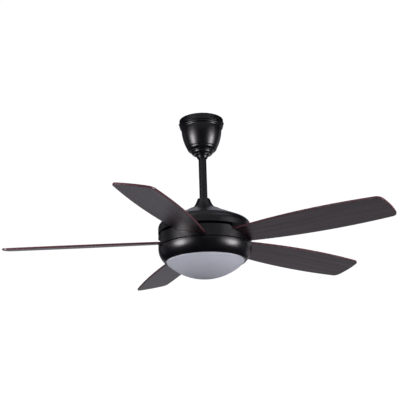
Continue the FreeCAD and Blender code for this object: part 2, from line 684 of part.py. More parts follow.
def top_housing():
    """Static spun dome over the motor: upright rim, rounded shoulder, shallow cone."""
    body = new_body("top_housing", BLADE_PLANE)
    drum, rim = size("drum_radius"), size("housing_rim_height")
    shoulder, bow = size("housing_shoulder_height"), size("shoulder_bow")
    foot, foot_level = size("cone_base_radius"), size("cone_base_height")
    top, top_level = size("cone_top_radius"), size("cone_top_height")
    hole = size("yoke_tube_radius") + 0.5
    revolve(body, [
        (drum - WALL, rim), (drum - 0.5, rim), (drum, rim + 0.5), (drum, shoulder, bow),
        (foot, foot_level), (top, top_level), (hole, top_level), (hole, top_level - WALL),
        (top - 0.3, top_level - WALL), (foot - 0.7, foot_level - WALL - 0.2, -(bow - WALL)),
        (drum - WALL, shoulder)])
    drill(body, HOUSING_SPOTS, 2.3, top_level - 3, top_level + 1)
    return keep(body)


def housing_cap():
    """Dished ring over the housing's screws, round the foot of the yoke cover."""
    body = new_body("housing_cap", BLADE_PLANE)
    rim, base, level = size("cap_plate_radius"), size("cover_base_radius"), size("cover_base_height")
    cone_top, cone_top_level = size("cone_top_radius"), size("cone_top_height")
    fall = (cone_top_level - size("cone_base_height")) / (size("cone_base_radius") - cone_top)
    edge = cone_top_level - (rim - cone_top) * fall + 0.1
    revolve(body, [
        (base - 7, level - 1.3), (base, level - 1.5), (cone_top, cone_top_level + 0.1), (rim, edge),
        (rim, edge + 0.4, 1.1), (rim - 1, edge + 1.5), (base + 0.6, level - 0.2), (base, level),
        (base - 7, level)])
    return keep(body)


# ---------------------------------------------------------------- motor

STATOR_LOW = size("stator_low")
STATOR_HIGH = size("stator_high")
OVERHANG = size("winding_overhang")
FLANGE_LOW = size("ring_floor_height")
MOTOR_WALL = size("motor_wall")
COVER_SPOTS = spots_on(6, size("motor_radius") - 10, 30)
HOLDER_SPOTS = [(reach, side * size("holder_screw_spread")) for side in (1, -1)
                for reach in (size("holder_screw_inner"), size("holder_screw_outer"))]


def flange_spots(start_angle):
    """Where six screws join the blade ring to the motor's bottom flange."""
    return spots_on(6, size("ring_screw_pitch"), start_angle)


def motor_shaft():
    body = new_body("motor_shaft", BLADE_PLANE)
    bore, outer = size("shaft_bore_radius"), size("shaft_radius")
    low, high = size("shaft_bottom_height"), size("shaft_top_height")
    revolve(body, [(bore, low), (outer - 1, low), (outer, low + 1), (outer, high), (bore, high)])
    return keep(body)


def shaft_nut():
    body = new_body("shaft_nut", BLADE_PLANE)
    top = size("light_plate_top") - size("light_plate_thickness")
    hexagon = [(13.5 * cosine(60 * k), 13.5 * sine(60 * k)) for k in range(6)]
    pad(body, top - 8, top, loops=[hexagon], circles=[(0, 0, size("shaft_radius"))])
    return keep(body)


def bearing_inner_races():
    """The inner races of both bearings, pressed on the shaft, each with a ball groove."""
    body = new_body("bearing_inner_races", BLADE_PLANE)
    bore, wall, width = size("shaft_radius"), size("race_wall"), size("bearing_width")
    groove = size("bearing_ball_radius") + size("running_gap")
    centre = bore + (size("bearing_radius") - bore) / 2
    for low in (size("lower_bearing_height"), size("upper_bearing_height")):
        middle = low + width / 2
        dip = Size(math.sqrt(groove.value ** 2 - (centre - bore - wall).value ** 2),
                   f"sqrt({groove.text} * {groove.text} - {(centre - bore - wall).text} * "
                   f"{(centre - bore - wall).text})")
        revolve(body, [(bore, low), (bore + wall, low), (bore + wall, middle - dip, -groove),
                       (bore + wall, middle + dip), (bore + wall, low + width),
                       (bore, low + width)])
    return keep(body)


def bearing(label, low):
    """An outer race with its balls, which turn with the rotor."""
    body = new_body(label, BLADE_PLANE)
    outer, wall, width = size("bearing_radius"), size("race_wall"), size("bearing_width")
    ball = size("bearing_ball_radius")
    centre = size("shaft_radius") + (outer - size("shaft_radius")) / 2
    revolve(body, [(outer - wall, low), (outer, low), (outer, low + width), (outer - wall, low + width)])
    balls = body.newObject("PartDesign::AdditiveSphere", label + "_ball")
    balls.Radius = ball.value
    bind(balls, "Radius", ball)
    balls.AttachmentSupport = [(origin_feature(body, "XY_Plane"), "")]
    balls.MapMode = "FlatFace"
    spot = vector(centre, 0, low + width / 2)
    balls.AttachmentOffset = FreeCAD.Placement(spot, FreeCAD.Rotation())
    bind(balls, "AttachmentOffset.Base.x", centre)
    bind(balls, "AttachmentOffset.Base.z", low + width / 2)
    doc.recompute()
    repeat(body, [balls], size("bearing_ball_count"))
    return keep(body)


STATOR_SLOT_FOOT = size("stator_radius") * 0.45
STATOR_SLOT_HALF_WIDTH = 3
STATOR_MOUTH_HALF_WIDTH = 1.2


def stator_core():
    """Laminated core with T-shaped slots, wide inside and narrow at the air gap."""
    body = new_body("stator_core", BLADE_PLANE)
    radius, wide, narrow = size("stator_radius"), STATOR_SLOT_HALF_WIDTH, STATOR_MOUTH_HALF_WIDTH
    pad(body, STATOR_LOW, STATOR_HIGH, circles=[(0, 0, radius), (0, 0, size("shaft_radius"))])
    inner, shoulder, mouth = STATOR_SLOT_FOOT, radius - 5, radius + 1
    slot = cut(body, STATOR_LOW - 1, STATOR_HIGH + 1, loops=[
        [(inner, -wide), (shoulder, -wide), (shoulder, -narrow), (mouth, -narrow),
         (mouth, narrow), (shoulder, narrow), (shoulder, wide), (inner, wide)]])
    repeat(body, [slot], size("stator_slot_count"))
    drill(body, spots_on(6, 20, 30), 4, STATOR_LOW - 1, STATOR_HIGH + 1)
    return keep(body)


def stator_windings():
    """Copper in every slot, joined by end turns above and below the core."""
    body = new_body("stator_windings", BLADE_PLANE)
    inner, outer = STATOR_SLOT_FOOT + 1, size("stator_radius") - 6
    half = STATOR_SLOT_HALF_WIDTH - 0.5
    for low, high in ((STATOR_LOW - OVERHANG, STATOR_LOW - 0.4),
                      (STATOR_HIGH + 0.4, STATOR_HIGH + OVERHANG)):
        revolve(body, [(inner + 1.5, low), (outer - 1.5, low), (outer, low + 1.5),
                       (outer, high), (inner, high), (inner, low + 1.5)])
    fill = pad(body, STATOR_LOW - 1, STATOR_HIGH + 1, loops=[rectangle(inner, outer, -half, half)])
    repeat(body, [fill], size("stator_slot_count"))
    return keep(body)


def rotor_ring():
    """Laminated ring with its cast cage, just outside the stator."""
    body = new_body("rotor_ring", BLADE_PLANE)
    inner, outer = size("stator_radius") + size("air_gap"), size("motor_radius") - MOTOR_WALL
    low, high = STATOR_LOW - 3, STATOR_HIGH + 3
    revolve(body, [(inner + 2, low), (outer, low), (outer, high), (inner + 2, high),
                   (inner, high - 2), (inner, low + 2)])
    drill(body, COVER_SPOTS, 2, low - 1, high + 1)
    return keep(body)


def rotor_top_cover():
    body = new_body("rotor_top_cover", BLADE_PLANE)
    radius, top = size("motor_radius"), size("motor_top_height")
    split, race = size("motor_split_height"), size("bearing_radius")
    seat = size("upper_bearing_height")
    revolve(body, [
        (radius - MOTOR_WALL, split), (radius, split), (radius, top - 6, 6), (radius - 6, top),
        (race - 6, top), (race - 6, top - 4), (race, top - 4), (race, seat), (race + 5, seat),
        (race + 7, top - MOTOR_WALL), (radius - 7, top - MOTOR_WALL), (radius - MOTOR_WALL, top - 7)])
    rib = pad(body, top, top + 2, loops=[rectangle(race + 6, radius - 12, -1.5, 1.5)])
    repeat(body, [rib], 10)
    drill(body, COVER_SPOTS, 2, top - 6, top + 1)
    return keep(body)


def rotor_bottom_cover():
    body = new_body("rotor_bottom_cover", BLADE_PLANE)
    radius, flange = size("motor_radius"), size("motor_flange_radius")
    split, race = size("motor_split_height"), size("bearing_radius")
    low, seat = FLANGE_LOW, size("lower_bearing_height")
    width = size("bearing_width")
    revolve(body, [
        (race - 6, low), (flange, low), (flange, low + 4), (radius, low + 4), (radius, split),
        (radius - MOTOR_WALL, split), (radius - MOTOR_WALL, low + 8), (radius - 6, low + 5),
        (race + 7, low + 5), (race + 5, seat + width), (race, seat + width), (race, low + 5),
        (race - 6, low + 5)])
    drill(body, flange_spots(0), 2.3, low - 1, low + 5)
    drill(body, COVER_SPOTS, 1.9, low - 1, low + 9)
    return keep(body)


def rotor_cover_screws():
    """Long screws that clamp the motor's two covers on the rotor ring."""
    low, high = FLANGE_LOW + 1, size("motor_top_height")
    return screws("rotor_cover_screws", BLADE_PLANE, COVER_SPOTS, low, high, 1.9, 3.6, 2.4)


# ---------------------------------------------------------------- blades and blade ring

def blade_ring():
    """Spinning band with five sloped slots; its floor carries the blade holders."""
    body = new_body("blade_ring", BLADE_PLANE, size("first_blade_angle"))
    drum, wall = size("drum_radius"), size("ring_wall")
    top, bottom = size("ring_top_height"), size("ring_bottom_height")
    floor, thick = FLANGE_LOW, size("ring_floor_thickness")
    revolve(body, [
        (size("motor_radius") - 22, floor - thick), (drum - wall, floor - thick),
        (drum - wall, bottom), (drum - 0.6, bottom), (drum, bottom + 0.6), (drum, top - 1.2),
        (drum - 0.9, top), (drum - wall, top), (drum - wall, floor),
        (size("motor_radius") - 22, floor)])
    slope = tangent(size("blade_pitch"))
    lead, foot, far = size("slot_lead_in"), size("slot_lead_foot"), size("slot_far_side")
    drop, over, lip = size("slot_drop"), top + 6, size("slot_lip_side")
    slot = cut(body, drum * 0.9, drum + 2, plane="YZ_Plane",
               loops=[[(lead, top), (foot, -drop - slope * foot), (far, -drop - slope * far),
                       (far, size("slot_far_height")), (lip, top), (lip, over), (lead, over)]])
    repeat(body, [slot], size("blade_count"))
    drill(body, flange_spots(-size("first_blade_angle")), 2.3, floor - thick - 1, floor + 1)
    holes = drill(body, HOLDER_SPOTS, 2.3, floor - thick - 1, floor + 1)
    repeat(body, [holes], size("blade_count"))
    return keep(body)


def blade_placement(index):
    """The frame of a blade: X along it, Z out of its upper face, pitched and drooped."""
    azimuth = size("first_blade_angle").value + BLADE_STEP.value * index
    turn = FreeCAD.Rotation(FreeCAD.Vector(0, 0, 1), azimuth)
    droop = FreeCAD.Rotation(FreeCAD.Vector(0, 1, 0), size("blade_droop").value)
    pitch = FreeCAD.Rotation(FreeCAD.Vector(1, 0, 0), -size("blade_pitch").value)
    return FreeCAD.Placement(vector(0, 0, BLADE_PLANE), turn * droop * pitch)


def ring_placement(index):
    """The level frame under a blade: X out along it, Z up."""
    azimuth = size("first_blade_angle").value + BLADE_STEP.value * index
    turn = FreeCAD.Rotation(FreeCAD.Vector(0, 0, 1), azimuth)
    return FreeCAD.Placement(vector(0, 0, BLADE_PLANE), turn)


BLADE_HALF = size("blade_thickness") / 2
BLADE_SPOTS = [(size("blade_screw_inner"), size("blade_screw_spread")),
               (size("blade_screw_inner"), -size("blade_screw_spread")),
               (size("blade_screw_outer"), 0)]


def edges_where(shape, test):
    return [f"Edge{number}" for number, edge in enumerate(shape.Edges, start=1) if test(edge)]


def blade(index):
    """Flat board with gently curved edges, a curved end and eased faces."""
    body = new_body(f"blade_{index + 1}", BLADE_PLANE)
    root, root_half = size("blade_root_radius"), size("blade_root_half_width")
    tip, tip_half = size("blade_corner_radius"), size("blade_corner_half_width")
    edge_bow, end_bow = size("blade_edge_bow"), size("blade_end_bow")
    board = pad(body, -BLADE_HALF, BLADE_HALF, loops=[
        [(root, -root_half, edge_bow), (tip, -tip_half, end_bow), (tip, tip_half, edge_bow),
         (root, root_half)]])
    doc.recompute()
    corners = body.newObject("PartDesign::Fillet", body.Name + "_corners")
    corners.Base = (board, edges_where(board.Shape, lambda edge: is_corner(edge, tip.value - 5)))
    corners.Radius = size("blade_corner_round").value
    bind(corners, "Radius", size("blade_corner_round"))
    doc.recompute()
    eased = body.newObject("PartDesign::Fillet", body.Name + "_eased")
    eased.Base = (corners, edges_where(corners.Shape, is_face_edge))
    eased.Radius = size("blade_edge_round").value
    bind(eased, "Radius", size("blade_edge_round"))
    drill(body, BLADE_SPOTS, size("blade_screw_radius") + 0.35, -BLADE_HALF - 1, BLADE_HALF + 1)
    body.Placement = blade_placement(index)
    return keep(body)


def is_corner(edge, beyond):
    """An upright edge further out than this radius."""
    low, high = edge.Vertexes[0].Point, edge.Vertexes[-1].Point
    return low.x > beyond and abs(low.z - high.z) > 1


def is_face_edge(edge):
    """An edge that lies in the board's upper or lower face."""
    heights = {round(vertex.Point.z, 3) for vertex in edge.Vertexes}
    return len(heights) == 1


def block(name, low_corner, high_corner, placement):
    """A Part box between two corners of a placed frame."""
    box = doc.addObject("Part::Box", name)
    for path, low, high in zip(("Length", "Width", "Height"), low_corner, high_corner):
        bind(box, path, high - low)
    box.Placement = placement.multiply(FreeCAD.Placement(vector(*low_corner), FreeCAD.Rotation()))
    return box


def blade_holder(index):
    """Cast wedge: flat on the ring's floor, its top sloped to carry the blade."""
    label = f"blade_holder_{index + 1}"
    half = size("holder_half_width")
    under_blade = block(label + "_under", (size("holder_inner"), -half, -45),
                        (size("holder_outer"), half, -BLADE_HALF), blade_placement(index))
    above_floor = block(label + "_above", (90, -60, FLANGE_LOW), (170, 60, 40), ring_placement(index))
    wedge = doc.addObject("Part::Common", label + "_wedge")
    wedge.Base, wedge.Tool = under_blade, above_floor
    drills = doc.addObject("Part::MultiFuse", label + "_drills")
    holes = []
    for x, y in BLADE_SPOTS:
        holes.append(hole_rod(label, x, y, -40, 45, size("blade_screw_radius"),
                              blade_placement(index)))
    for x, y in HOLDER_SPOTS:
        holes.append(hole_rod(label, x, y, FLANGE_LOW - 1, 7, 2, ring_placement(index)))
    drills.Shapes = holes
    holder = doc.addObject("Part::Cut", label)
    holder.Base, holder.Tool = wedge, drills
    holder.Label = label
    return keep(holder)


def hole_rod(name, x, y, low, height, radius, placement):
    """A Part cylinder along the Z of a placed frame."""
    rod = doc.addObject("Part::Cylinder", name + "_hole")
    bind(rod, "Radius", radius)
    bind(rod, "Height", height)
    rod.Placement = placement.multiply(FreeCAD.Placement(vector(x, y, low), FreeCAD.Rotation()))
    return rod


def per_blade_group(label, build):
    """One node of identical small pieces, a set of them in each blade's frame."""
    sets = []
    for index in range(BLADE_COUNT):
        body = new_body(f"{label}_set_{index + 1}", BLADE_PLANE)
        build(body)
        body.Placement = blade_placement(index)
        sets.append(body)
    group = doc.addObject("Part::Compound", label)
    group.Label = label
    group.Links = sets
    return keep(group)


def blade_screw_set(body):
    radius, seat = size("blade_screw_radius"), BLADE_HALF + size("washer_thickness")
    pad(body, -BLADE_HALF - 5, seat, circles=[(x, y, radius) for x, y in BLADE_SPOTS])
    pad(body, seat, seat + 2.8, circles=[(x, y, 4.8) for x, y in BLADE_SPOTS])
    cut(body, seat + 1, seat + 3, circles=[(x, y, 2) for x, y in BLADE_SPOTS])


def blade_washer_set(body):
    rings = [(x, y, radius) for x, y in BLADE_SPOTS for radius in (6.5, 2.6)]
    pad(body, BLADE_HALF, BLADE_HALF + size("washer_thickness"), circles=rings)


def holder_screws():
    """Screws up through the ring's floor into the four corners of every holder."""
    spots = []
    for index in range(BLADE_COUNT):
        azimuth = size("first_blade_angle") + BLADE_STEP * index
        for x, y in HOLDER_SPOTS:
            spots.append((cosine(azimuth) * x - sine(azimuth) * y,
                          sine(azimuth) * x + cosine(azimuth) * y))
    seat = FLANGE_LOW - size("ring_floor_thickness")
    return screws("holder_screws", BLADE_PLANE, spots, FLANGE_LOW + 4, seat, 2, 3.4, 1.6)


def ring_screws():
    """Screws up through the ring's floor and the motor's flange."""
    seat = FLANGE_LOW - size("ring_floor_thickness")
    return screws("ring_screws", BLADE_PLANE, flange_spots(0), FLANGE_LOW + 5, seat, 2.3, 4, 1.6)


# ---------------------------------------------------------------- light kit

PLATE_TOP = size("light_plate_top")
PLATE_LOW = PLATE_TOP - size("light_plate_thickness")
TRAY_TOP = size("tray_height")
TRAY_WALL = 1.3
POST_SPOTS = spots_on(3, 84, 30)
PAN_SPOTS = spots_on(3, 106, 90)
LUG_COUNT = 3


def light_plate():
    body = new_body("light_plate", BLADE_PLANE)
    pad(body, PLATE_LOW, PLATE_TOP,
        circles=[(0, 0, size("light_plate_radius")), (0, 0, size("shaft_radius"))])
    drill(body, PAN_SPOTS, 2, PLATE_LOW - 1, PLATE_TOP + 1)
    drill(body, POST_SPOTS, 2, PLATE_LOW - 1, PLATE_TOP + 1)
    return keep(body)


def light_pan():
    """Spun bowl whose flange screws to the light plate and whose lip frames the shade."""
    body = new_body("light_pan", BLADE_PLANE)
    drum, top, lip = size("drum_radius"), size("pan_top_height"), size("pan_lip_height")
    lip_radius, mouth, bow = size("pan_lip_radius"), size("pan_mouth_radius"), size("pan_bow")
    revolve(body, [
        (100, PLATE_LOW - WALL), (drum - WALL - 1, PLATE_LOW - WALL, -bow),
        (lip_radius - WALL, lip + 0.8), (mouth, lip + 2.4), (mouth, lip - 0.8),
        (mouth + 1.2, lip - 2, 2.6), (lip_radius - 0.6, lip - 1), (lip_radius, lip, bow),
        (drum, top - 0.8), (drum - 0.8, top), (drum - WALL - 1, top), (drum - WALL - 1, PLATE_LOW),
        (100, PLATE_LOW)])
    drill(body, PAN_SPOTS, 2.3, PLATE_LOW - 3, PLATE_LOW + 1)
    return keep(body)


def pan_screws():
    seat = PLATE_LOW - WALL
    return screws("pan_screws", BLADE_PLANE, PAN_SPOTS, PLATE_TOP + 1, seat, 2, 3.8, 2.4)


def tray_posts():
    """Standoffs between the light plate and the tray."""
    body = new_body("tray_posts", BLADE_PLANE)
    pad(body, TRAY_TOP, PLATE_LOW, circles=[(x, y, 4) for x, y in POST_SPOTS])
    drill(body, POST_SPOTS, 1.9, TRAY_TOP - 1, TRAY_TOP + 8)
    return keep(body)


def light_tray():
    """White tray with a turned-down rim and three tabs that hold the shade's lugs."""
    body = new_body("light_tray", BLADE_PLANE)
    rim, low = size("tray_radius"), size("shade_rim_top") + 0.1
    revolve(body, [
        (30, TRAY_TOP - TRAY_WALL), (rim - TRAY_WALL, TRAY_TOP - TRAY_WALL), (rim - TRAY_WALL, low),
        (rim, low), (rim, TRAY_TOP - 0.8), (rim - 0.8, TRAY_TOP), (30, TRAY_TOP)])
    half = size("tab_half_angle")
    near, far = size("shade_neck_radius") + 0.5, rim - TRAY_WALL / 2
    tab = pad(body, low + 1, low + 2.4, loops=[
        [(near * cosine(half), -(near * sine(half))), (far * cosine(half), -(far * sine(half)), far),
         (far * cosine(half), far * sine(half)), (near * cosine(half), near * sine(half), -near)]])
    repeat(body, [tab], LUG_COUNT)
    drill(body, POST_SPOTS, 2.2, TRAY_TOP - 3, TRAY_TOP + 1)
    return keep(body)


def tray_screws():
    seat = TRAY_TOP - TRAY_WALL
    return screws("tray_screws", BLADE_PLANE, POST_SPOTS, TRAY_TOP + 7, seat - 1.6, 1.9, 3.4, 1.8)


def led_driver():
    """Plastic driver box under the light plate."""
    body = new_body("led_driver", BLADE_PLANE)
    pad(body, PLATE_LOW - 20, PLATE_LOW, loops=[rectangle(-40, 40, 24, 60)])
    pad(body, PLATE_LOW - 3, PLATE_LOW, loops=[rectangle(-48, -40, 34, 50), rectangle(40, 48, 34, 50)])
    cut(body, PLATE_LOW - 21, PLATE_LOW - 19, loops=[rectangle(-34, 34, 30, 54)])
    return keep(body)


def led_board():
    body = new_body("led_board", BLADE_PLANE)
    top = TRAY_TOP - TRAY_WALL
    pad(body, top - size("led_board_thickness"), top,
        circles=[(0, 0, size("led_board_radius")), (0, 0, 20)])
    drill(body, POST_SPOTS, 2.2, top - 3, top + 1)
    return keep(body)


def led_chips():
    """Square LED packages on three rings of the board."""
    body = new_body("led_chips", BLADE_PLANE)
    face = TRAY_TOP - TRAY_WALL - size("led_board_thickness")
    for pitch_radius, count in ((38, 8), (66, 14), (94, 20)):
        chip = pad(body, face - 0.8, face,
                   loops=[rectangle(pitch_radius - 2.5, pitch_radius + 2.5, -2.5, 2.5)])
        repeat(body, [chip], count)
    return keep(body)


def glass_shade():
    """Opal bowl with an upright rim, and a neck with three bayonet lugs."""
    body = new_body("glass_shade", BLADE_PLANE)
    rim, wall, bow = size("shade_rim_radius"), size("shade_wall"), size("shade_bow")
    top, foot, bottom = size("shade_rim_top"), size("shade_rim_bottom"), size("shade_bottom")
    neck, neck_top = size("shade_neck_radius"), size("shade_neck_top")
    bend = rim - 4.4
    bend_level = Size(bottom.value + bow.value - math.sqrt(bow.value ** 2 - bend.value ** 2),
                      f"({bottom.text} + {bow.text} - sqrt({bow.text} * {bow.text} - "
                      f"{bend.text} * {bend.text}))")
    inner_bow = bow - wall
    inside = neck - wall
    inside_level = Size(
        bottom.value + bow.value - math.sqrt(inner_bow.value ** 2 - inside.value ** 2),
        f"({bottom.text} + {bow.text} - sqrt({inner_bow.text} * {inner_bow.text} - "
        f"{inside.text} * {inside.text}))")
    revolve(body, [
        (0, bottom, bow), (bend, bend_level, 7), (rim, foot), (rim, top - 0.6), (rim - 0.6, top),
        (neck, top), (neck, neck_top), (inside, neck_top), (inside, inside_level, -inner_bow),
        (0, bottom + wall)])
    half, reach = size("lug_half_angle"), size("lug_radius")
    root = neck - 1
    lug = pad(body, top + 3, neck_top, loops=[
        [(root * cosine(half), -(root * sine(half))),
         (reach * cosine(half), -(reach * sine(half)), reach),
         (reach * cosine(half), reach * sine(half)), (root * cosine(half), root * sine(half), -root)]])
    repeat(body, [lug], LUG_COUNT)
    return keep(body)


# ---------------------------------------------------------------- assembly and export

def build_all():
    for build in (hanger_bracket, canopy, canopy_cap, canopy_screws, remote_receiver, hanger_key,
                  hanger_ball, ball_cross_pin, ball_set_screw, downrod, lead_wires, motor_yoke,
                  clevis_pin, cotter_pin, yoke_set_screws, yoke_cover, top_housing, housing_cap,
                  motor_shaft, shaft_nut, bearing_inner_races, stator_core, stator_windings,
                  rotor_ring, rotor_top_cover, rotor_bottom_cover, rotor_cover_screws, blade_ring,
                  holder_screws, ring_screws, light_plate, light_pan, pan_screws, tray_posts,
                  light_tray, tray_screws, led_driver, led_board, led_chips, glass_shade):
        build()
    bearing("upper_bearing", size("upper_bearing_height"))
    bearing("lower_bearing", size("lower_bearing_height"))
    seat = size("cone_top_height")
    screws("housing_screws", BLADE_PLANE, HOUSING_SPOTS, seat - WALL - 4, seat, 2, 4, 2.4)
    for index in range(BLADE_COUNT):
        blade(index)
        blade_holder(index)
    per_blade_group("blade_screws", blade_screw_set)
    per_blade_group("blade_washers", blade_washer_set)
    doc.recompute()


def check_all():
    """Stops on any failed object or broken sub-part before anything is written."""
    failed = [item.Name for item in doc.Objects
              if "Invalid" in item.State or "Error" in item.State]
    if failed:
        raise RuntimeError(f"failed objects: {failed}")
    for item in SUB_PARTS:
        if item.Shape.isNull() or not item.Shape.isValid():
            raise RuntimeError(f"{item.Label} has no valid shape")


def export_all():
    os.makedirs("parts", exist_ok=True)
    for item in SUB_PARTS:
        item.Shape.exportStep(f"parts/{item.Label}.step")
        print(f"{item.Label}: {len(item.Shape.Solids)} solids, {item.Shape.Volume / 1000:.2f} cm3")


build_all()
check_all()
export_all()
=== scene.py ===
import math

import bpy
from mathutils import Matrix, Vector

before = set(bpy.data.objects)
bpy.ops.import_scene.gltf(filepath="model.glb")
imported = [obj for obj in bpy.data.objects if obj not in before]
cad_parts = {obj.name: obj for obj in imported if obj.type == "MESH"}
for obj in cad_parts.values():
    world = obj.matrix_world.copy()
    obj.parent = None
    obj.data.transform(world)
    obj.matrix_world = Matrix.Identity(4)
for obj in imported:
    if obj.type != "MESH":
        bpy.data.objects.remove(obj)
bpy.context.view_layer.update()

# ---------------------------------------------------------------- camera, world, lights and floor

# The camera stands in front of the fan, below it, and looks up; metres, degrees and millimetres of lens.
CAMERA_PLACE = Vector((0, -2.9312, -1.2336))
CAMERA_PITCH = math.radians(17.939)
CAMERA_YAW = math.radians(-0.237)
CAMERA_ROLL = math.radians(-1.7145)
CAMERA_LENS = 83.08
SENSOR_WIDTH = 36
CLIP_START = 0.05
CLIP_END = 60

FAN_LEVEL = -0.43
STUDIO_FLOOR = -5.2
FLOOR_HALF = 9
FLOOR_PAPER = (0.85, 0.85, 0.85, 1)

BACKDROP = (1.03, 1.03, 1.03, 1)
LAMP_TINT = (1.0, 0.955, 1.0)
ROOM_DARK = (0.010, 0.0105, 0.016, 1)
ROOM_ABOVE = (0.30, 0.295, 0.33, 1)
WALL_BEHIND = (0.345, 0.338, 0.38, 1)
PAPER_BELOW = (0.49, 0.47, 0.52, 1)

# Where each part of the room starts and ends its fade, by one coordinate of the direction looked in.
# The lean tips the pale ceiling towards the camera's side.
WALL_SIDES = (0.44, 0.28)
WALL_DEPTH = (0.4, 0.7)
WALL_TOP = (0.85, 0.45)
WALL_TO_PAPER = (-0.15, -0.6)
CEILING_EDGE = (0.5, 1.0)
CEILING_LEAN = 0.6

# For each side: its name, what its azimuths are multiplied by, the elevation of its brightest softbox,
# and the glow of the faint one behind the fan.
SIDE_LIGHTS = (("left", -1, -7, 0.12), ("right", 1.12, -9, 0.3))


def make_camera():
    camera = bpy.data.objects.new("camera", bpy.data.cameras.new("camera"))
    bpy.context.scene.collection.objects.link(camera)
    camera.data.lens = CAMERA_LENS
    camera.data.sensor_width = SENSOR_WIDTH
    camera.data.clip_start = CLIP_START
    camera.data.clip_end = CLIP_END
    forward = Vector((math.cos(CAMERA_PITCH) * math.sin(CAMERA_YAW),
                      math.cos(CAMERA_PITCH) * math.cos(CAMERA_YAW), math.sin(CAMERA_PITCH)))
    level = forward.cross(Vector((0, 0, 1))).normalized()
    upright = level.cross(forward)
    right = math.cos(CAMERA_ROLL) * level + math.sin(CAMERA_ROLL) * upright
    up = -math.sin(CAMERA_ROLL) * level + math.cos(CAMERA_ROLL) * upright
    turn = Matrix((right, up, -forward)).transposed()
    camera.matrix_world = Matrix.Translation(CAMERA_PLACE) @ turn.to_4x4()
    bpy.context.scene.camera = camera


def make_world():
    """The camera sees a white backdrop; the fan reflects a dim room, paler behind, below and overhead."""
    world = bpy.data.worlds.new("studio")
    bpy.context.scene.world = world
    world.use_nodes = True
    tree = world.node_tree
    tree.nodes.clear()
    link = tree.links.new

    def add(kind, **settings):
        made = tree.nodes.new(kind)
        for name, value in settings.items():
            setattr(made, name, value)
        return made

    def feed(source, socket):
        """A source is another node's output, or a number or colour for the socket itself."""
        if isinstance(source, bpy.types.NodeSocket):
            link(source, socket)
        else:
            socket.default_value = source

    def fade(source, limits):
        ramp = add("ShaderNodeMapRange", interpolation_type="SMOOTHSTEP")
        for value, socket in zip((source, *limits), ("Value", "From Min", "From Max")):
            feed(value, ramp.inputs[socket])
        return ramp.outputs[0]

    def joined(operation, *sources):
        maths = add("ShaderNodeMath", operation=operation)
        for source, socket in zip(sources, maths.inputs):
            feed(source, socket)
        return maths.outputs[0]

    def blended(factor, start, end):
        mix = add("ShaderNodeMix", data_type="RGBA")
        for source, socket in ((factor, "Factor"), (start, "A"), (end, "B")):
            feed(source, mix.inputs[socket])
        return mix.outputs["Result"]

    split = add("ShaderNodeSeparateXYZ")
    link(add("ShaderNodeTexCoord").outputs["Generated"], split.inputs[0])
    across, away, upward = (split.outputs[axis] for axis in "XYZ")
    behind = joined("MULTIPLY", fade(joined("ABSOLUTE", across), WALL_SIDES), fade(away, WALL_DEPTH))
    pale = blended(fade(upward, WALL_TO_PAPER), WALL_BEHIND, PAPER_BELOW)
    leaning = joined("SUBTRACT", upward, joined("MULTIPLY", away, CEILING_LEAN))
    dim = blended(fade(leaning, CEILING_EDGE), ROOM_DARK, ROOM_ABOVE)
    wall = joined("MULTIPLY", behind, fade(upward, WALL_TOP))
    room = add("ShaderNodeBackground")
    link(blended(wall, dim, pale), room.inputs["Color"])
    seen = add("ShaderNodeBackground")
    seen.inputs["Color"].default_value = BACKDROP
    choice = add("ShaderNodeMixShader")
    link(add("ShaderNodeLightPath").outputs["Is Camera Ray"], choice.inputs[0])
    link(room.outputs[0], choice.inputs[1])
    link(seen.outputs[0], choice.inputs[2])
    link(choice.outputs[0], add("ShaderNodeOutputWorld").inputs["Surface"])
    bpy.context.scene.view_settings.view_transform = "Standard"


def add_softbox(name, azimuth, elevation, distance, width, height, glow):
    """An oval light aimed at the fan, of radiance glow; azimuth 0 is the camera's side, 90 is +X."""
    light = bpy.data.lights.new(name, "AREA")
    light.shape = "ELLIPSE"
    light.size = width
    light.size_y = height
    area = math.pi / 4 * width * height
    light.energy = glow * math.pi * area
    light.color = LAMP_TINT
    lamp = bpy.data.objects.new(name, light)
    bpy.context.scene.collection.objects.link(lamp)
    across, rise = math.radians(azimuth), math.radians(elevation)
    out = Vector((math.sin(across) * math.cos(rise), -math.cos(across) * math.cos(rise), math.sin(rise)))
    lamp.location = Vector((0, 0, FAN_LEVEL)) + out * distance
    lamp.rotation_mode = "QUATERNION"
    lamp.rotation_quaternion = out.to_track_quat("Z", "Y")
    return lamp


def make_lights():
    """On each side a softbox that fades outwards in steps, one behind, one overhead; then fills."""
    for side, turn, level, faint in SIDE_LIGHTS:
        add_softbox(f"softbox_{side}", azimuth=60 * turn, elevation=level,
                    distance=2.2, width=0.95, height=1.0, glow=8.4)
        add_softbox(f"softbox_{side}_middle", azimuth=58 * turn, elevation=level + 3,
                    distance=2.23, width=1.7, height=1.3, glow=2.1)
        add_softbox(f"softbox_{side}_halo", azimuth=56 * turn, elevation=level + 6,
                    distance=2.26, width=2.3, height=1.8, glow=0.65)
        add_softbox(f"softbox_{side}_behind", azimuth=122 * turn, elevation=5,
                    distance=2.4, width=1.2, height=1.8, glow=faint)
    for side, azimuth, glow in (("left", -50, 0.7), ("right", 50, 0.4)):
        add_softbox(f"overhead_{side}", azimuth, elevation=45,
                    distance=2.6, width=1.8, height=1.0, glow=glow)
    # The fills light the glass and other dull surfaces and leave no highlight.
    for side, azimuth, elevation, glow in (("front", 28, 0, 0.95), ("below", 0, -90, 0.40),
                                           ("above", 0, 90, 1.0)):
        fill = add_softbox(f"fill_{side}", azimuth, elevation,
                           distance=3.2, width=3, height=3, glow=glow)
        fill.visible_glossy = False


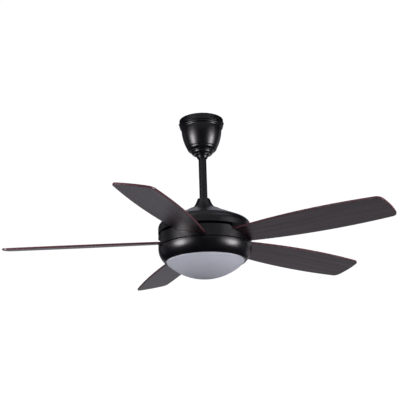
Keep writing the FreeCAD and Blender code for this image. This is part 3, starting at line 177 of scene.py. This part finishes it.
def make_floor():
    """A plain pale floor, far enough down for a look from underneath."""
    mesh = bpy.data.meshes.new("studio_floor")
    corners = ((-1, -1), (1, -1), (1, 1), (-1, 1))
    mesh.from_pydata([(FLOOR_HALF * x, FLOOR_HALF * y, STUDIO_FLOOR) for x, y in corners],
                     [], [(0, 1, 2, 3)])
    floor = bpy.data.objects.new("studio_floor", mesh)
    bpy.context.scene.collection.objects.link(floor)
    paint = bpy.data.materials.new("studio_paper")
    paint.use_nodes = True
    shader = paint.node_tree.nodes["Principled BSDF"]
    for socket, value in (("Base Color", FLOOR_PAPER), ("Roughness", 0.9),
                          ("Emission Color", (1, 1, 1, 1)), ("Emission Strength", 1.0)):
        shader.inputs[socket].default_value = value
    mesh.materials.append(paint)
    # Only the camera sees it: the world already holds the pale paper that the fan reflects.
    floor.visible_glossy = False
    floor.visible_diffuse = False


make_camera()
make_world()
make_lights()
make_floor()

# ---------------------------------------------------------------- material helpers

WAVE_UNIT = 20  # a wave texture of scale 1 has a band every tau / 20


class Finish:
    """A material in the making: constants go on its shader, patterns are linked to it."""

    def __init__(self, name, **constants):
        self.material = bpy.data.materials.new(name)
        self.material.use_nodes = True
        self.tree = self.material.node_tree
        self.shader = self.tree.nodes["Principled BSDF"]
        for socket, value in constants.items():
            self.shader.inputs[socket.replace("_", " ")].default_value = value

    def node(self, kind, **settings):
        made = self.tree.nodes.new(kind)
        for name, value in settings.items():
            setattr(made, name, value)
        return made

    def link(self, source, target):
        self.tree.links.new(source, target)

    def place(self, scale=(1, 1, 1)):
        """Object coordinates in metres; a large scale makes a pattern short that way."""
        coordinates = self.node("ShaderNodeTexCoord")
        mapping = self.node("ShaderNodeMapping")
        mapping.inputs["Scale"].default_value = scale
        self.link(coordinates.outputs["Object"], mapping.inputs["Vector"])
        return mapping.outputs["Vector"]

    def noise(self, place, size, detail=3, rough=0.5, warp=0):
        """Noise whose features are about this size in metres."""
        made = self.node("ShaderNodeTexNoise")
        made.inputs["Scale"].default_value = 1 / size
        made.inputs["Detail"].default_value = detail
        made.inputs["Roughness"].default_value = rough
        made.inputs["Distortion"].default_value = warp
        self.link(place, made.inputs["Vector"])
        return made.outputs["Fac"]

    def cells(self, place, size):
        """Flakes about this size in metres, each with a colour of its own."""
        made = self.node("ShaderNodeTexVoronoi")
        made.inputs["Scale"].default_value = 1 / size
        self.link(place, made.inputs["Vector"])
        return made.outputs["Color"]

    def stripes(self, place, period, direction, warp=0):
        """Even bands across one direction, a period in metres apart."""
        made = self.node("ShaderNodeTexWave", bands_direction=direction)
        made.inputs["Scale"].default_value = math.tau / WAVE_UNIT / period
        made.inputs["Distortion"].default_value = warp
        self.link(place, made.inputs["Vector"])
        return made.outputs["Fac"]

    def spread(self, factor, low, high, start=0.3, end=0.7):
        """A pattern's range from start to end, drawn out from low to high."""
        made = self.node("ShaderNodeMapRange")
        for socket, value in (("From Min", start), ("From Max", end), ("To Min", low), ("To Max", high)):
            made.inputs[socket].default_value = value
        self.link(factor, made.inputs["Value"])
        return made.outputs["Result"]

    def tones(self, factor, *stops):
        """A colour ramp; each stop is (position, colour)."""
        made = self.node("ShaderNodeValToRGB")
        elements = made.color_ramp.elements
        while len(elements) < len(stops):
            elements.new(0.5)
        for element, (position, colour) in zip(elements, stops):
            element.position = position
            element.color = (*colour, 1)
        self.link(factor, made.inputs["Fac"])
        return made.outputs["Color"]

    def mixed(self, factor, first, second, how="MIX"):
        """Two colour outputs mixed by a factor, which is an output or a number."""
        made = self.node("ShaderNodeMix", data_type="RGBA", blend_type=how)
        if isinstance(factor, (int, float)):
            made.inputs["Factor"].default_value = factor
        else:
            self.link(factor, made.inputs["Factor"])
        self.link(first, made.inputs["A"])
        self.link(second, made.inputs["B"])
        return made.outputs["Result"]

    def give(self, socket, source):
        self.link(source, self.shader.inputs[socket])

    def relief(self, *layers):
        """Bumps; each layer is (height output, depth in metres)."""
        before = None
        for height, depth in layers:
            made = self.node("ShaderNodeBump")
            made.inputs["Distance"].default_value = depth
            self.link(height, made.inputs["Height"])
            if before is not None:
                self.link(before, made.inputs["Normal"])
            before = made.outputs["Normal"]
        self.link(before, self.shader.inputs["Normal"])


# ---------------------------------------------------------------- materials

PEEL_DEPTH = 0.000001  # a micron


def black_coat(name, peel_size):
    """Satin black powder coat: fine orange peel and a slow drift of gloss."""
    finish = Finish(name, Coat_Weight=1.0, Coat_Roughness=0.25, Specular_IOR_Level=0.2)
    place = finish.place()
    drift = finish.noise(place, size=0.06, detail=2)
    peel = finish.noise(place, size=peel_size, detail=2)
    finish.give("Base Color", finish.tones(drift, (0.3, (0.0014, 0.0014, 0.0021)),
                                           (0.7, (0.0024, 0.0023, 0.0033))))
    finish.give("Roughness", finish.spread(drift, 0.36, 0.42))
    finish.relief((peel, PEEL_DEPTH))
    return finish.material


def black_cast():
    """Thin paint over a cast skin."""
    finish = Finish("black_casting")
    place = finish.place()
    grain = finish.noise(place, size=0.0012, detail=4)
    finish.give("Base Color", finish.tones(grain, (0.3, (0.02, 0.02, 0.022)), (0.7, (0.045, 0.045, 0.048))))
    finish.give("Roughness", finish.spread(grain, 0.5, 0.7))
    finish.relief((grain, 0.00008))
    return finish.material


def galvanised_steel():
    """Zinc spangle in flakes of about a centimetre."""
    finish = Finish("zinc_spangle", Metallic=1)
    place = finish.place()
    flakes = finish.cells(place, size=0.009)
    cloud = finish.noise(place, size=0.02, detail=4)
    tone = finish.node("ShaderNodeRGBToBW")
    finish.link(flakes, tone.inputs["Color"])
    finish.give("Base Color", finish.tones(tone.outputs[0], (0.2, (0.46, 0.47, 0.49)),
                                           (0.8, (0.66, 0.67, 0.69))))
    finish.give("Roughness", finish.spread(cloud, 0.34, 0.52))
    finish.relief((tone.outputs[0], 0.00001))
    return finish.material


def bright_steel():
    """Zinc plate over fine turning lines, which run round the upright axis."""
    finish = Finish("zinc_plate", Metallic=1)
    lines = finish.noise(finish.place(scale=(1, 1, 14)), size=0.002)
    finish.give("Base Color", finish.tones(lines, (0.3, (0.58, 0.58, 0.60)), (0.7, (0.72, 0.72, 0.73))))
    finish.give("Roughness", finish.spread(lines, 0.22, 0.36))
    finish.relief((lines, 0.00001))
    return finish.material


def bearing_steel():
    """Ground and polished, with hair-fine grinding lines."""
    finish = Finish("ground_steel", Metallic=1)
    lines = finish.noise(finish.place(scale=(1, 1, 20)), size=0.003)
    finish.give("Base Color", finish.tones(lines, (0.3, (0.70, 0.70, 0.72)), (0.7, (0.80, 0.80, 0.81))))
    finish.give("Roughness", finish.spread(lines, 0.10, 0.18))
    finish.relief((lines, 0.000005))
    return finish.material


def black_steel():
    """Black oxide over steel, with the bright metal just showing on worn spots."""
    finish = Finish("black_oxide", Metallic=1)
    wear = finish.noise(finish.place(), size=0.0012, detail=4)
    finish.give("Base Color", finish.tones(wear, (0.4, (0.02, 0.02, 0.022)), (0.8, (0.07, 0.07, 0.075))))
    finish.give("Roughness", finish.spread(wear, 0.5, 0.38))
    finish.relief((wear, 0.00001))
    return finish.material


def steel_laminations():
    """Half-millimetre sheets stacked upwards."""
    finish = Finish("stacked_sheets", Metallic=1)
    place = finish.place()
    sheets = finish.stripes(place, period=0.0005, direction="Z")
    finish.give("Base Color", finish.tones(sheets, (0.1, (0.10, 0.10, 0.11)), (0.6, (0.32, 0.32, 0.34))))
    finish.give("Roughness", finish.spread(finish.noise(place, size=0.01), 0.35, 0.5))
    finish.relief((sheets, 0.00005))
    return finish.material


def copper():
    """Varnished wire laid in turns."""
    finish = Finish("enamelled_copper", Metallic=1, Coat_Weight=0.6, Coat_Roughness=0.15)
    place = finish.place()
    turns = finish.stripes(place, period=0.0009, direction="Z", warp=0.6)
    finish.give("Base Color", finish.tones(turns, (0.1, (0.28, 0.10, 0.04)), (0.6, (0.62, 0.28, 0.13))))
    finish.give("Roughness", finish.spread(turns, 0.45, 0.25))
    finish.relief((turns, 0.0001))
    return finish.material


def white_gloss():
    """Glossy stove enamel with a trace of orange peel."""
    finish = Finish("white_enamel", Coat_Weight=0.3, Coat_Roughness=0.1)
    place = finish.place()
    drift = finish.noise(place, size=0.05, detail=2)
    finish.give("Base Color", finish.tones(drift, (0.3, (0.83, 0.83, 0.81)), (0.7, (0.88, 0.88, 0.87))))
    finish.give("Roughness", finish.spread(drift, 0.22, 0.3))
    finish.relief((finish.noise(place, size=0.0015, detail=2), 0.00001))
    return finish.material


def led_board_white():
    """White solder mask with the faint relief of its copper lands."""
    finish = Finish("solder_mask")
    place = finish.place()
    lands = finish.node("ShaderNodeTexBrick")
    for socket, value in (("Scale", 1), ("Brick Width", 0.014), ("Row Height", 0.007),
                          ("Mortar Size", 0.0006), ("Color1", (0.86, 0.87, 0.85, 1)),
                          ("Color2", (0.83, 0.84, 0.82, 1)), ("Mortar", (0.74, 0.76, 0.73, 1))):
        lands.inputs[socket].default_value = value
    finish.link(place, lands.inputs["Vector"])
    finish.give("Base Color", lands.outputs["Color"])
    finish.give("Roughness", finish.spread(finish.noise(place, size=0.01), 0.3, 0.4))
    finish.relief((lands.outputs["Fac"], 0.00003))
    return finish.material


def led_phosphor():
    """Cloudy yellow gel over the chips."""
    finish = Finish("phosphor_gel", Subsurface_Weight=0.2, Subsurface_Scale=0.001)
    place = finish.place()
    cloud = finish.noise(place, size=0.001)
    finish.give("Base Color", finish.tones(cloud, (0.3, (0.80, 0.62, 0.16)), (0.7, (0.90, 0.78, 0.34))))
    finish.give("Roughness", finish.spread(cloud, 0.25, 0.4))
    finish.relief((cloud, 0.00003))
    return finish.material


def moulded_plastic(name, dark, light):
    """Fine spark-eroded texture."""
    finish = Finish(name)
    place = finish.place()
    grain = finish.noise(place, size=0.0007)
    finish.give("Base Color", finish.tones(finish.noise(place, size=0.03), (0.3, dark), (0.7, light)))
    finish.give("Roughness", finish.spread(grain, 0.45, 0.6))
    finish.relief((grain, 0.00004))
    return finish.material


WIRE_SEAM = 0.0001  # half the blend between two leads' colours


def wire_insulation():
    """Four leads in four colours, one to each quarter of the rod."""
    finish = Finish("wire_covers")
    place = finish.place()
    split = finish.node("ShaderNodeSeparateXYZ")
    finish.link(place, split.inputs[0])
    to_right, to_back = (finish.spread(split.outputs[axis], 0, 1, -WIRE_SEAM, WIRE_SEAM) for axis in "XY")
    front = finish.tones(to_right, (0.49, (0.015, 0.015, 0.017)), (0.51, (0.75, 0.75, 0.73)))
    back = finish.tones(to_right, (0.49, (0.03, 0.22, 0.06)), (0.51, (0.02, 0.07, 0.35)))
    finish.give("Base Color", finish.mixed(to_back, front, back))
    grain = finish.noise(place, size=0.002)
    finish.give("Roughness", finish.spread(grain, 0.3, 0.42))
    finish.relief((grain, 0.00003))
    return finish.material


def fibre():
    """Pressed strands, rough and dull."""
    finish = Finish("pressed_fibre")
    strands = finish.noise(finish.place(), size=0.0008, detail=6, rough=0.7)
    finish.give("Base Color", finish.tones(strands, (0.3, (0.05, 0.035, 0.03)), (0.7, (0.13, 0.10, 0.085))))
    finish.give("Roughness", finish.spread(strands, 0.75, 0.95))
    finish.relief((strands, 0.0001))
    return finish.material


def opal_glass():
    """Satin opal glass: milky body under a soft skin."""
    finish = Finish("satin_opal", Subsurface_Weight=0.25, Subsurface_Scale=0.006,
                    Subsurface_Radius=(1, 0.95, 0.85), Specular_IOR_Level=0.4)
    place = finish.place()
    milk = finish.noise(place, size=0.08, detail=2)
    frost = finish.noise(place, size=0.0006)
    finish.give("Base Color", finish.tones(milk, (0.3, (0.565, 0.602, 0.665)),
                                           (0.7, (0.595, 0.633, 0.685))))
    finish.give("Roughness", finish.spread(frost, 0.38, 0.46))
    finish.relief((frost, 0.000008))
    return finish.material


# The blades' layout in the CAD: metres and degrees.
BLADE_PLANE = -0.428
BLADE_COUNT = 5
FIRST_BLADE = 181.2
BLADE_PITCH = 12.7
BLADE_DROOP = 1.04
BLADE_HALF = 0.003

# The grain is stretched along a blade, and each blade is cut from another part of the board.
GRAIN_STRETCH = (0.045, 1, 0.2)
BOARD_STEP = (0.013, 0.37)

# The edge's lacquer fades out between these depths below a blade's faces.
LACQUER_FADE = (0.0007, 0.0001)


def blade_turn(index):
    """A blade's frame: X out along it and Z out of its upper face, pitched and drooped."""
    azimuth = Matrix.Rotation(math.radians(FIRST_BLADE + 360 / BLADE_COUNT * index), 4, "Z")
    droop = Matrix.Rotation(math.radians(BLADE_DROOP), 4, "Y")
    pitch = Matrix.Rotation(math.radians(-BLADE_PITCH), 4, "X")
    return azimuth @ droop @ pitch


def blade_wood(index):
    """Dark stained laminate with grain along the blade and a maroon lacquered edge."""
    finish = Finish(f"blade_laminate_{index + 1}", Specular_IOR_Level=0.465)
    coordinates = finish.node("ShaderNodeTexCoord")
    local = finish.node("ShaderNodeMapping", vector_type="TEXTURE")
    # A texture mapping turns the whole fan's coordinates into the blade's own.
    local.inputs["Location"].default_value = (0, 0, BLADE_PLANE)
    local.inputs["Rotation"].default_value = blade_turn(index).to_euler("XYZ")
    finish.link(coordinates.outputs["Object"], local.inputs["Vector"])
    stretch = finish.node("ShaderNodeMapping")
    stretch.inputs["Scale"].default_value = GRAIN_STRETCH
    stretch.inputs["Location"].default_value = (BOARD_STEP[0] * index, BOARD_STEP[1] * index, 0)
    finish.link(local.outputs[0], stretch.inputs["Vector"])
    grain_place = stretch.outputs[0]
    figure = finish.noise(grain_place, size=0.016, detail=5, rough=0.6, warp=0.4)
    pores = finish.noise(grain_place, size=0.0022, detail=4, rough=0.7)
    wood = finish.tones(figure, (0.32, (0.006, 0.0025, 0.003)), (0.5, (0.022, 0.011, 0.0125)),
                        (0.68, (0.060, 0.032, 0.035)))
    veins = finish.tones(pores, (0.35, (0.72, 0.68, 0.68)), (0.6, (1, 1, 1)))
    face = finish.mixed(0.8, wood, veins, "MULTIPLY")
    split = finish.node("ShaderNodeSeparateXYZ")
    finish.link(local.outputs[0], split.inputs[0])
    off_middle = finish.node("ShaderNodeMath", operation="ABSOLUTE")
    finish.link(split.outputs["Z"], off_middle.inputs[0])
    on_face = finish.spread(off_middle.outputs[0], 0, 1, *(BLADE_HALF - depth for depth in LACQUER_FADE))
    lacquer = finish.tones(figure, (0.3, (0.085, 0.026, 0.033)), (0.7, (0.12, 0.038, 0.047)))
    finish.give("Base Color", finish.mixed(on_face, lacquer, face))
    finish.give("Roughness", finish.spread(pores, 0.26, 0.34))
    finish.relief((pores, 0.00004))
    return finish.material


def finish_nodes():
    """Gives every CAD node its finish, by the name of its material slot in model.glb."""
    finishes = {
        "black_metal": black_coat("satin_black_coat", 0.0016),
        "black_aluminium": black_coat("satin_black_casting", 0.0024),
        "black_cast": black_cast(), "black_steel": black_steel(),
        "galvanised_steel": galvanised_steel(), "bright_steel": bright_steel(),
        "bearing_steel": bearing_steel(),
        "steel_laminations": steel_laminations(), "copper": copper(),
        "opal_glass": opal_glass(), "tray_white": white_gloss(),
        "led_board_white": led_board_white(), "led_phosphor": led_phosphor(),
        "black_plastic": moulded_plastic("black_moulding", (0.016, 0.016, 0.018), (0.026, 0.026, 0.028)),
        "white_plastic": moulded_plastic("white_moulding", (0.74, 0.74, 0.72), (0.80, 0.80, 0.78)),
        "wire_insulation": wire_insulation(), "fibre_washer": fibre(),
    }
    blade_finishes = {f"blade_{index + 1}": blade_wood(index) for index in range(BLADE_COUNT)}
    for name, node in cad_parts.items():
        for slot in node.material_slots:
            slot.material = blade_finishes.get(name) or finishes[slot.material.name]


finish_nodes()
